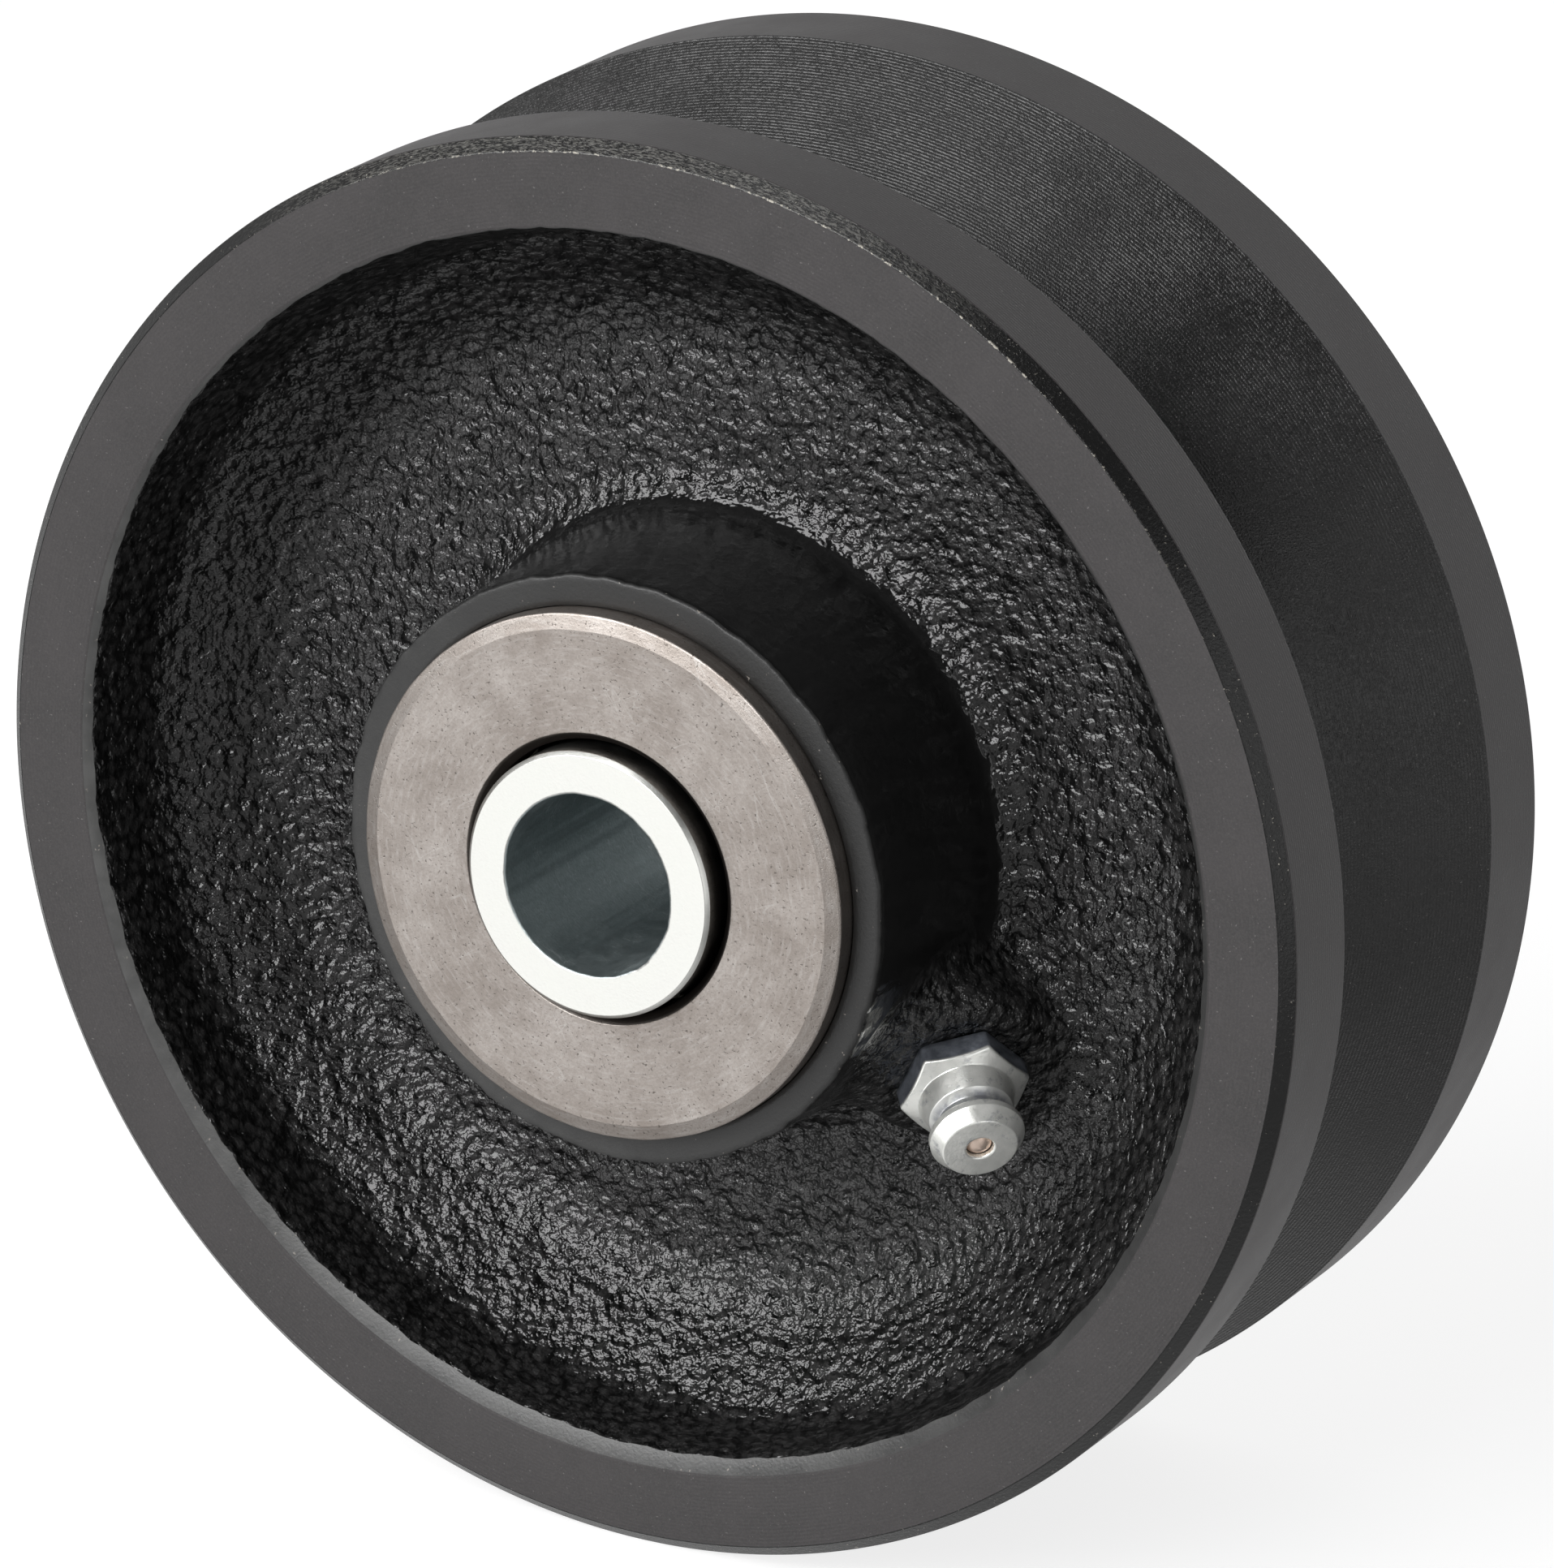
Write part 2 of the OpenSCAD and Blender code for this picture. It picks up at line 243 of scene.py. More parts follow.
class Shader:
    """One procedural material: a Principled shader and the nodes that feed it, in millimetres."""

    def __init__(self, name, **constants):
        self.material = bpy.data.materials.new(name)
        self.material.use_nodes = True
        self.tree = self.material.node_tree
        self.principled = self.tree.nodes["Principled BSDF"]
        for key, value in constants.items():
            self.set(key.replace("_", " "), value)
        place = self.node("ShaderNodeTexCoord").outputs["Object"]
        self.point = self.vector("SCALE", place, scale=1 / MM)
        self.x, self.y, self.z = self.split(self.point)
        flat = self.node("ShaderNodeCombineXYZ", X=self.x, Z=self.z).outputs[0]
        self.r = self.vector("LENGTH", flat)

    def node(self, kind, properties=None, **inputs):
        made = self.tree.nodes.new(kind)
        for key, value in (properties or {}).items():
            setattr(made, key, value)
        for key, value in inputs.items():
            self.put(made.inputs[key], value)
        return made

    def put(self, socket, value):
        if isinstance(value, bpy.types.NodeSocket):
            self.tree.links.new(value, socket)
        else:
            socket.default_value = value

    def set(self, name, value):
        """Sets or links one socket of the Principled shader."""
        if name in ("Base Color", "Emission Color") and isinstance(value, tuple):
            value = (*value, 1)
        self.put(self.principled.inputs[name], value)

    def math(self, operation, a, b=0.0):
        made = self.node("ShaderNodeMath", {"operation": operation})
        self.put(made.inputs[0], a)
        self.put(made.inputs[1], b)
        return made.outputs[0]

    def plus(self, a, b):
        return self.math("ADD", a, b)

    def times(self, a, b):
        return self.math("MULTIPLY", a, b)

    def gap(self, a, b):
        """How far apart two numbers are."""
        return self.math("ABSOLUTE", self.math("SUBTRACT", a, b))

    def vector(self, operation, a, b=None, scale=None):
        made = self.node("ShaderNodeVectorMath", {"operation": operation})
        self.put(made.inputs[0], a)
        if b is not None:
            self.put(made.inputs[1], b)
        if scale is not None:
            self.put(made.inputs["Scale"], scale)
        return made.outputs["Value" if operation in ("LENGTH", "DOT_PRODUCT") else "Vector"]

    def split(self, vector):
        made = self.node("ShaderNodeSeparateXYZ", Vector=vector)
        return made.outputs[0], made.outputs[1], made.outputs[2]

    def range(self, value, low, high, to_low=0.0, to_high=1.0, smooth=False):
        kind = "SMOOTHSTEP" if smooth else "LINEAR"
        made = self.node("ShaderNodeMapRange", {"interpolation_type": kind})
        for socket, number in zip(made.inputs, (value, low, high, to_low, to_high)):
            self.put(socket, number)
        return made.outputs[0]

    def noise(self, size, detail=2.0, rough=0.5, point=None, shift=0.0):
        """Cloudy noise from 0 to 1 with features about one size wide."""
        at = self.point if point is None else point
        if shift:
            at = self.vector("ADD", at, (shift, shift, shift))
        made = self.node("ShaderNodeTexNoise", Vector=at, Scale=1 / size, Detail=detail, Roughness=rough)
        return made.outputs["Fac"]

    def cells(self, size, point):
        """Distance to scattered points about one size apart."""
        return self.node("ShaderNodeTexVoronoi", Vector=point, Scale=1 / size).outputs["Distance"]

    def mix(self, factor, a, b):
        """A colour between a and b."""
        made = self.node("ShaderNodeMix", {"data_type": "RGBA"})
        self.put(made.inputs["Factor"], factor)
        for key, value in (("A", a), ("B", b)):
            socket = [s for s in made.inputs if s.name == key and s.type == "RGBA"][0]
            self.put(socket, (*value, 1) if isinstance(value, tuple) else value)
        return [s for s in made.outputs if s.type == "RGBA"][0]

    def blend(self, factor, a, b):
        """A number between a and b."""
        made = self.node("ShaderNodeMix", {"data_type": "FLOAT"})
        self.put(made.inputs["Factor"], factor)
        self.put(made.inputs["A"], a)
        self.put(made.inputs["B"], b)
        return made.outputs[0]

    def bump(self, height, depth):
        """A bump of that depth in millimetres where the height goes from 0 to 1."""
        return self.node("ShaderNodeBump", Height=height, Distance=depth * MM, Strength=1.0).outputs[0]

    def drawn_round(self, length):
        """A point whose noise is drawn out round the wheel, less so for a greater length."""
        return self.node("ShaderNodeCombineXYZ", X=self.r, Y=self.y, Z=self.turn(length)).outputs[0]

    def toward(self, degrees):
        """How nearly a place round the wheel lies in one direction, from -1 to 1."""
        angle = math.radians(degrees)
        across = self.vector("DOT_PRODUCT", self.point, (math.cos(angle), 0, math.sin(angle)))
        return self.math("DIVIDE", across, self.r)

    def turn(self, scale):
        """The angle round the wheel times a length."""
        return self.times(self.math("ARCTAN2", self.z, self.x), scale)

    def waves(self, coordinate, pitch):
        """A smooth wave from 0 to 1 along a coordinate."""
        turns = self.times(coordinate, 2 * math.pi / pitch)
        return self.plus(self.times(self.math("SINE", turns), 0.5), 0.5)


def cast_gloss():
    """Glossy black paint over the sand-cast skin, with painted shade in the creases between its lumps; the
    hub's side is smoother.
    """
    s = Shader("cast_gloss_paint", IOR=1.52)
    wander = s.node("ShaderNodeTexNoise", Vector=s.point, Scale=1.8, Detail=1.0).outputs["Color"]
    shifted = s.vector("ADD", s.point, s.vector("SCALE", wander, scale=0.5))
    lumps = s.cells(0.85, shifted)
    pebbles = s.math("SUBTRACT", 1.0, s.times(lumps, lumps))
    grain = s.noise(0.75, 2.5, 0.5)
    waves = s.noise(1.4, 1, 0.5)
    hub_r = HUB_ROOT[0]
    off_hub = s.range(s.plus(s.r, s.noise(1.0, 2)), hub_r + 0.7, hub_r + 1.7, 0.08, 1.0, smooth=True)
    boss = s.vector("LENGTH", s.vector("SUBTRACT", s.point, tuple(fitting_frame()[0].tolist())))
    near_boss = s.range(boss, BOSS_R + 1.5, BOSS_R + 4.0, 1.0, 0.0, smooth=True)
    rough_part = s.math("MAXIMUM", off_hub, near_boss)
    height = s.times(pebbles, 0.13)
    height = s.plus(height, s.times(grain, 0.46))
    height = s.plus(height, s.times(waves, 0.3))
    s.set("Normal", s.bump(s.times(height, rough_part), 1.0))
    # Painted shade: the creases between the lumps get a darker colour than the lump tops.
    skin = s.mix(s.range(pebbles, 0.6, 0.95), (0.003, 0.003, 0.003), (0.017, 0.0166, 0.0166))
    s.set("Base Color", s.mix(rough_part, (0.005, 0.005, 0.005), skin))
    s.set("Roughness", s.range(s.noise(0.9, 2), 0.3, 0.7, 0.1, 0.2))
    return s.material


def turned_paint(name, base, dust_and_sheen, pitch, depth, roughness, lined=1.0):
    """Satin black paint over a turned surface, with its fine concentric lines, a painted sheen on their
    crests, and dust.
    """
    s = Shader(name, IOR=1.5)
    along = s.plus(s.r, s.math("ABSOLUTE", s.y))
    wander = s.noise(6.0, 1, 0.5)
    lines = s.waves(s.plus(along, s.times(wander, 0.1)), pitch)
    fine = s.noise(0.13, 2, 0.6)
    cloud = s.noise(5.0, 3, 0.55)
    faint = s.range(s.noise(9.0, 2, shift=21.0), 0.35, 0.6, 0.4, 1.0)
    gaps = s.range(s.noise(0.35, 3, 0.65), 0.35, 0.6, 0.2 * lined, lined)
    lines = s.times(s.times(lines, faint), gaps)
    s.set("Normal", s.bump(s.plus(lines, s.times(fine, 1.2)), depth))
    dark = tuple(c * 0.8 for c in base)
    light = tuple(c * 1.25 for c in base)
    paint = s.mix(s.range(cloud, 0.35, 0.65), dark, light)
    # Painted sheen: the crests of the turned lines get the lighter colour; the next line adds lighter fine
    # grain in the same colour.
    paint = s.mix(s.times(lines, s.range(fine, 0.3, 0.7, 0.1, 0.8)), paint, dust_and_sheen)
    paint = s.mix(s.range(fine, 0.4, 0.75, 0.0, 0.5), paint, dust_and_sheen)
    dust = s.range(s.noise(0.2, 1, 0.5, shift=9.0), 0.72, 0.8)
    s.set("Base Color", s.mix(s.times(dust, 0.5), paint, (0.16, 0.155, 0.15)))
    s.set("Roughness", s.range(cloud, 0.3, 0.7, roughness - 0.04, roughness + 0.05))
    return s.material


def worn_edge():
    """Black paint over the rough edge break, with a painted sheen of grey streaks near its top, worn to
    bright iron in dashes along one stretch.
    """
    s = Shader("worn_edge_paint", IOR=1.42)
    grit = s.noise(0.26, 3, 0.65)
    streaks = s.noise(0.1, 2, 0.6, point=s.drawn_round(14.0))
    worn = s.range(s.toward(75), 0.72, 0.96)
    top_sheen = s.range(s.toward(92), 0.8, 0.97)
    on_edge = s.range(s.gap(s.r, TREAD_R - CHAMFER), 0.03, 0.1, 1.0, 0.0)
    dashes = s.range(s.noise(0.45, 3, 0.65, shift=3.0), 0.57, 0.62)
    chips = s.times(s.times(on_edge, dashes), worn)
    specks = s.times(s.range(grit, 0.66, 0.72), s.range(s.noise(3.0, 2, shift=13.0), 0.45, 0.6))
    bare = s.math("MAXIMUM", chips, specks)
    height = s.plus(grit, s.times(streaks, 0.5))
    s.set("Normal", s.bump(height, 0.035))
    # Painted sheen: grey streaks only on the stretch of the edge at the top of the wheel.
    sheen_part = s.times(s.range(streaks, 0.45, 0.65), top_sheen)
    grey = s.mix(sheen_part, (0.006, 0.006, 0.006), (0.09, 0.088, 0.082))
    s.set("Base Color", s.mix(bare, grey, (0.32, 0.30, 0.26)))
    s.set("Roughness", s.blend(bare, 0.2, 0.5))
    return s.material


def plain_paint(name, dark, light, bump_depth, roughness):
    """Thin satin paint over a faced surface, with cloudy patches, a few chips and painted shade on one
    side.
    """
    s = Shader(name, IOR=1.5)
    fine = s.noise(0.22, 3, 0.6)
    cloud = s.noise(2.5, 3, 0.6)
    chips = s.range(s.noise(0.5, 2, 0.6, shift=5.0), 0.69, 0.73)
    s.set("Normal", s.bump(fine, bump_depth))
    paint = s.mix(s.range(cloud, 0.35, 0.65), (dark, dark, dark * 0.99), (light, light, light * 0.98))
    # Painted shade: the paint is darker towards the side round the wheel at about 35 degrees.
    paint = s.mix(s.range(s.toward(215), -0.6, 0.9, 0.75, 0.0), paint, (0.004, 0.004, 0.004))
    s.set("Base Color", s.mix(s.times(chips, 0.7), paint, (0.2, 0.18, 0.16)))
    s.set("Roughness", s.range(cloud, 0.3, 0.7, roughness - 0.05, roughness + 0.06))
    return s.material


def scratches(s, size, angle, shift):
    """Thin straight scratches in one direction across the wheel's faces."""
    cosine = math.cos(angle)
    sine = math.sin(angle)
    u = s.vector("DOT_PRODUCT", s.point, (cosine, 0, sine))
    v = s.vector("DOT_PRODUCT", s.point, (-sine, 0, cosine))
    at = s.node("ShaderNodeCombineXYZ", X=s.times(u, 0.12), Y=s.y, Z=v).outputs[0]
    field = s.noise(size, 1.5, 0.5, point=at, shift=shift)
    return s.range(s.gap(field, 0.5), 0.0, 0.012, 1.0, 0.0)


def washer_steel():
    """Plain warm-grey steel with fine pits, mottling and handling marks, and painted shade in its hole."""
    s = Shader("washer_steel", Metallic=1.0)
    cloud = s.noise(4.0, 4, 0.65)
    grain = s.noise(0.16, 2, 0.6)
    pits = s.range(s.noise(0.24, 2, 0.6, shift=17.0), 0.62, 0.72)
    arcs = s.noise(0.3, 2, 0.6, point=s.drawn_round(3.0))
    marks = s.math("MAXIMUM", scratches(s, 0.9, 0.5, 2.0), scratches(s, 1.1, 2.1, 7.0))
    marks = s.times(marks, s.range(s.noise(2.6, 1, shift=4.0), 0.55, 0.66))
    steel = s.mix(s.range(cloud, 0.3, 0.7), (0.30, 0.265, 0.24), (0.42, 0.385, 0.36))
    steel = s.mix(s.range(grain, 0.35, 0.75, 0.0, 0.45), steel, (0.22, 0.195, 0.175))
    steel = s.mix(s.range(arcs, 0.5, 0.72, 0.0, 0.4), steel, (0.50, 0.47, 0.45))
    steel = s.mix(s.times(marks, 0.35), steel, (0.56, 0.54, 0.52))
    steel = s.mix(s.times(pits, 0.7), steel, (0.10, 0.085, 0.075))
    # Painted shade: the hole's wall and chamfer get a dark colour, for the gap round the bushing.
    uneven_r = s.plus(s.r, s.times(cloud, 0.2))
    hole = s.range(uneven_r, WASHER_HOLE_R + 0.5, WASHER_HOLE_R + 0.75, 1.0, 0.0)
    s.set("Base Color", s.mix(s.times(hole, 0.9), steel, (0.055, 0.045, 0.04)))
    s.set("Roughness", s.range(cloud, 0.3, 0.7, 0.5, 0.42))
    height = s.plus(grain, s.times(arcs, 0.6))
    height = s.math("SUBTRACT", height, s.times(pits, 0.8))
    s.set("Normal", s.bump(height, 0.014))
    return s.material


def zinc_plating():
    """Bright zinc plating with soft mottling, with painted shade and a painted bluish reflection in the
    axle hole, and painted shade on its side near the washers.
    """
    s = Shader("zinc_plating", Metallic=1.0)
    cloud = s.noise(1.6, 3, 0.55)
    grain = s.noise(0.2, 2, 0.55)
    plating = s.mix(s.range(cloud, 0.3, 0.7), (0.62, 0.625, 0.595), (0.70, 0.70, 0.672))
    streaks = s.noise(0.35, 3, 0.6, point=s.vector("MULTIPLY", s.point, (1.0, 0.6, 1.0)))
    # Painted shade and reflection: the axle hole's plating is darker and bluer.
    bore = s.mix(s.range(streaks, 0.3, 0.75), (0.37, 0.42, 0.425), (0.46, 0.51, 0.52))
    marks = s.math("MAXIMUM", scratches(s, 0.8, 1.2, 3.0), scratches(s, 1.0, 2.6, 8.0))
    marks = s.times(marks, s.range(cloud, 0.5, 0.62, 0.0, 0.5))
    bore = s.mix(marks, bore, (0.8, 0.83, 0.84))
    inside = s.range(s.r, AXLE_R + 0.06, AXLE_R + 0.12, 1.0, 0.0)
    plating = s.mix(inside, plating, bore)
    # Painted shade: the bushing's outer side is darkened, most where it meets the washers.
    height = s.plus(s.math("ABSOLUTE", s.y), s.times(grain, 0.5))
    washer_shade = s.range(height, WASHER_H + 0.5, BUSHING_H, 0.85, 0.3)
    side = s.range(s.r, BUSHING_R - 0.22, BUSHING_R - 0.07)
    s.set("Base Color", s.mix(s.times(side, washer_shade), plating, (0.06, 0.06, 0.058)))
    s.set("Roughness", s.plus(s.range(cloud, 0.3, 0.7, 0.27, 0.38), s.times(inside, 0.14)))
    s.set("Normal", s.bump(grain, 0.012))
    return s.material


def fitting_plating():
    """Satin zinc plating with painted shade: dark and blue on the hexagon's sides and dark in the neck; and
    a few dark smudges.
    """
    s = Shader("fitting_plating", Metallic=0.8)
    centre, axis = [tuple(v.tolist()) for v in fitting_frame()[:2]]
    place = s.vector("SUBTRACT", s.point, centre)
    up = s.vector("DOT_PRODUCT", place, axis)
    out = s.vector("LENGTH", s.vector("CROSS_PRODUCT", place, axis))
    cloud = s.noise(0.9, 3, 0.6)
    # The height at which the cone through a point meets the collar: on the hexagon's cone, its top
    slope = HEX_CONE_H / (HEX_CORNER_R - COLLAR_R)
    cone_height = s.plus(up, s.times(s.math("SUBTRACT", out, COLLAR_R), slope))
    cone_top = HEX_H + HEX_CONE_H
    sides = s.range(cone_height, cone_top - 0.25, cone_top - 0.08, 1.0, 0.0)
    # Painted shade: the neck groove is painted dark; the same colour marks random smudges.
    neck = s.range(s.gap(up, NECK_H), 0.4, 0.8, 1.0, 0.0)
    neck = s.times(neck, s.range(cloud, 0.35, 0.6, 0.35, 0.85))
    spots = s.range(s.noise(1.1, 4, 0.7, shift=6.0), 0.56, 0.72, 0.0, 0.6)
    plating = s.mix(s.range(cloud, 0.3, 0.7), (0.86, 0.87, 0.83), (0.97, 0.97, 0.93))
    plating = s.mix(s.math("MAXIMUM", neck, spots), plating, (0.22, 0.23, 0.27))
    # Painted shade: the hexagon's flat sides get a dark bluish copy of the plating.
    side_shade = s.mix(s.range(cloud, 0.3, 0.7), (0.18, 0.20, 0.235), (0.42, 0.45, 0.52))
    s.set("Base Color", s.mix(sides, plating, side_shade))
    s.set("Roughness", s.range(cloud, 0.3, 0.7, 0.27, 0.38))
    s.set("Normal", s.bump(s.noise(0.2, 2, 0.55), 0.012))
    return s.material


def bearing_steel():
    """Ground steel of the rollers and the spring, with faint rings round each roller."""
    s = Shader("bearing_steel", Metallic=1.0)
    rings = s.noise(0.5, 2, 0.6, point=s.vector("MULTIPLY", s.point, (0.1, 1.0, 0.1)))
    s.set("Base Color", s.mix(rings, (0.50, 0.51, 0.53), (0.66, 0.67, 0.69)))
    s.set("Roughness", s.range(rings, 0.3, 0.7, 0.16, 0.26))
    s.set("Normal", s.bump(rings, 0.006))
    return s.material


def cage_steel():
    """Dull yellowish steel of the roller cage."""
    s = Shader("cage_steel", Metallic=1.0)
    cloud = s.noise(1.5, 3, 0.6)
    s.set("Base Color", s.mix(cloud, (0.42, 0.36, 0.24), (0.62, 0.56, 0.42)))
    s.set("Roughness", s.range(cloud, 0.3, 0.7, 0.28, 0.42))
    s.set("Normal", s.bump(s.noise(0.2, 2), 0.01))
    return s.material


def copper():
    """Pale copper-coloured plating of the check ball."""
    s = Shader("copper_ball", Metallic=1.0)
    cloud = s.noise(0.6, 2, 0.5)
    s.set("Base Color", s.mix(cloud, (0.86, 0.66, 0.54), (0.95, 0.80, 0.70)))
    s.set("Roughness", s.range(cloud, 0.3, 0.7, 0.42, 0.55))
    s.set("Normal", s.bump(s.noise(0.12, 2), 0.006))
    return s.material


# ------------------------------------------------------------------ casting

CAST, FACE, GROOVE, EDGE, HUB_FACE, BEVEL = range(6)


def edge_rows(before, here, after, radius):
    """Rows that round one corner of the section, with a support row on each side."""
    path = rounded([before, here, after], [radius], 1)[1:-1]
    u = unit(np.array(before, float) - here)
    v = unit(np.array(after, float) - here)
    reach = 2.2 * radius / math.tan(math.acos(u @ v) / 2)
    return [tuple(here + u * reach), tuple(path[0]), tuple(path[1]), tuple(here + v * reach)]


def rim_rows():
    """Section of the rim from the front face's inner edge to the middle of the groove's root."""
    edge = [
        (FACE_R, RIM_H),
        (TREAD_R - CHAMFER, RIM_H),
        (TREAD_R, RIM_H - CHAMFER),
        (TREAD_R, GROOVE_EDGE_H),
        (GROOVE_ROOT_R, GROOVE_ROOT_H),
        (GROOVE_ROOT_R, -GROOVE_ROOT_H),
    ]
    edge = [np.array(p) for p in edge]
    rows = []
    for part, radius, zone in ((1, 0.07, EDGE), (2, 0.07, FACE), (3, 0.07, GROOVE), (4, 0.4, GROOVE)):
        for p in edge_rows(edge[part - 1], edge[part], edge[part + 1], radius):
            rows.append((p, zone))
        if part == 1:
            rows.append(((edge[1] + edge[2]) / 2, EDGE))
        if part == 2:
            rows.append(((edge[2] + edge[3]) / 2, FACE))
        if part == 3:
            rows.append(((edge[3] * 2 + edge[4]) / 3, GROOVE))
            rows.append(((edge[3] + edge[4] * 2) / 3, GROOVE))
    return rows


def recess_path():
    path = [(HUB_R, HUB_H), HUB_ROOT, WALL_FOOT, WALL_BEND, RECESS_EDGE]
    path = rounded(path, RECESS_FILLETS, 24)
    start = path[0] + unit(path[1] - path[0]) * 0.25
    return np.concatenate([[start], path[1:]])


def path_distance(points, path):
    """Distance from points of the half section to a path."""
    best = np.full(points.shape[:-1], 1e9)
    for a, b in zip(path, path[1:]):
        along = b - a
        t = np.clip(((points - a) @ along) / (along @ along), 0, 1)
        best = np.minimum(best, np.linalg.norm(points - a - t[..., None] * along, axis=-1))
    return best


def boss_distance(points):
    """Signed distance to the rounded boss under the grease fitting."""
    centre, axis = fitting_frame()[:2]
    q = points - centre
    up = q @ axis
    side = np.linalg.norm(q - up[..., None] * axis, axis=-1)
    dx = side - (BOSS_R - BOSS_ROUND)
    dy = up + BOSS_ROUND
    outside = np.hypot(np.maximum(dx, 0), np.maximum(dy, 0))
    return outside + np.minimum(np.maximum(dx, dy), 0) - BOSS_ROUND


def fitting_frame():
    """Seat centre of the grease fitting, its axis, and two directions across it."""
    radial = np.array([math.cos(FITTING_ANGLE), 0, math.sin(FITTING_ANGLE)])
    front = np.array([0, -1.0, 0])
    centre = radial * FITTING_SEAT[0] + front * FITTING_SEAT[1]
    axis = radial * math.sin(FITTING_TILT) + front * math.cos(FITTING_TILT)
    across = radial * math.cos(FITTING_TILT) - front * math.sin(FITTING_TILT)
    return centre, axis, across, np.cross(axis, across)


def soft_union(a, b, radius):
    """Smaller of two distances, with a fillet of that radius between them."""
    inner = np.hypot(np.maximum(radius - a, 0), np.maximum(radius - b, 0))
    return np.maximum(radius, np.minimum(a, b)) - inner


def recess_grid(count, angles, with_boss):
    """Points of the cast recess, rows from the hub's edge out to the rim's edge."""
    path = recess_path()
    base = spaced(path, count)
    r = np.repeat(base[:, :1], len(angles), axis=1)
    h = np.repeat(base[:, 1:], len(angles), axis=1)
    if with_boss:
        # Each point moves along its ray from a fixed eye in front, to where it meets web or boss
        eye = np.array([32.5, 20.5])
        away = base - eye
        reach = np.linalg.norm(away, axis=1)
        ray = away / reach[:, None]
        turn = np.angle(np.exp(1j * (angles - FITTING_ANGLE)))
        near = np.nonzero(np.abs(turn) < BOSS_SPREAD)[0]
        t = np.zeros((count, len(near)))
        for _ in range(70):
            at = eye + t[..., None] * ray[:, None, :]
            world = polar(at[..., 0], at[..., 1], angles[near][None, :])
            gap = soft_union(path_distance(at, path), boss_distance(world), BOSS_FILLET)
            t = np.minimum(t + 0.85 * np.maximum(gap, 0), reach[:, None])
        r[:, near] = eye[0] + t * ray[:, :1]
        h[:, near] = eye[1] + t * ray[:, 1:]
    return r, h


def grid_normals(points):
    """Unit normals of a grid that closes round its columns."""
    across = np.roll(points, -1, axis=1) - np.roll(points, 1, axis=1)
    along = np.gradient(points, axis=0)
    normal = np.cross(along, across)
    return normal / np.linalg.norm(normal, axis=-1, keepdims=True)


def cast_skin(points, r, h, seed):
    """The recess with the lumps of its sand-cast skin, fading out at both edges."""
    normal = grid_normals(points)
    swell = 0.11 * noise_at(points, 3.4, seed) + 0.07 * noise_at(points, 1.5, seed + 20)
    smooth_hub = 0.3 + 0.7 * smoothstep(HUB_ROOT[0] + 0.6, HUB_ROOT[0] + 3.5, r)
    fade = smoothstep(0.2, 2.5, RECESS_EDGE[1] - np.abs(h))
    centre, axis = fitting_frame()[:2]
    q = points - centre
    up = q @ axis
    side = np.linalg.norm(q - up[..., None] * axis, axis=-1)
    seat = smoothstep(4.4, 6.2, np.where(up > -4, side, 99))
    amount = swell * smooth_hub * fade * seat
    return points + normal * amount[..., None]


def ragged(angles, radius, cell, seed):
    """Uneven offset round an edge, mostly between -1 and 1."""
    circle = polar(radius, 0.0, angles)
    return noise_at(circle, cell, seed) + 0.5 * noise_at(circle, cell / 3, seed + 5)


def recess_half(side, angles):
    """Rows of one half, from its bearing bore over hub and recess to its side face, and their zones."""
    seed = SKIN_SEED[side]
    count = FRONT_ROWS if side > 0 else REAR_ROWS
    hub_rag = 0.16 * ragged(angles, HUB_R, 1.6, seed)
    lean = EDGE_LEAN * np.cos(angles - math.radians(EDGE_LEAN_ANGLE[side]))
    edge_r = EDGE_R + lean + 0.13 * ragged(angles, FACE_R, 1.5, seed + 9)
    edge_h = bevel_height(edge_r)
    r, h = recess_grid(count, angles, side > 0)
    on_wall = r > WALL_FOOT[0]
    r = r + hub_rag * smoothstep(HUB_H - 3.5, HUB_H, h) * ~on_wall
    pull = smoothstep(WALL_BEND[1] + 0.5, RECESS_EDGE[1], h) * on_wall
    r = r + (edge_r - RECESS_EDGE[0]) * pull
    h = h + (edge_h - RECESS_EDGE[1]) * pull
    seat = [(BORE_R, SEAT_H), (SEAT_R, SEAT_H), (SEAT_R, HUB_H - 0.15), (SEAT_R + 0.12, HUB_H)]
    seat += [(SEAT_R + 0.48, HUB_H), (HUB_R - 0.5, HUB_H)]
    rows = [polar(radius, side * height, angles) for radius, height in seat]
    for inward, below in ((0.2, 0.0), (0.07, 0.06)):
        rows.append(polar(HUB_R - inward + hub_rag, side * (HUB_H - below), angles))
    zones = [HUB_FACE] * len(rows)
    rows += list(cast_skin(polar(r, side * h, angles), r, h, seed))
    zones += [CAST] * (count - 1)
    bevel_r = np.maximum(FACE_R - 0.09, edge_r + 0.08)
    rows.append(polar(edge_r + 0.04, side * np.minimum(edge_h + 0.02, RIM_H), angles))
    rows.append(polar(bevel_r, side * bevel_height(bevel_r), angles))
    rows.append(polar(np.maximum(FACE_R + 0.1, edge_r + 0.2), side * RIM_H, angles))
    return rows, zones + [BEVEL, BEVEL, FACE, FACE]


def bevel_height(radius):
    """Height of the bevel between the recess and the side face."""
    return np.minimum(RIM_H - BEVEL_SLOPE * (FACE_R - radius), RIM_H)


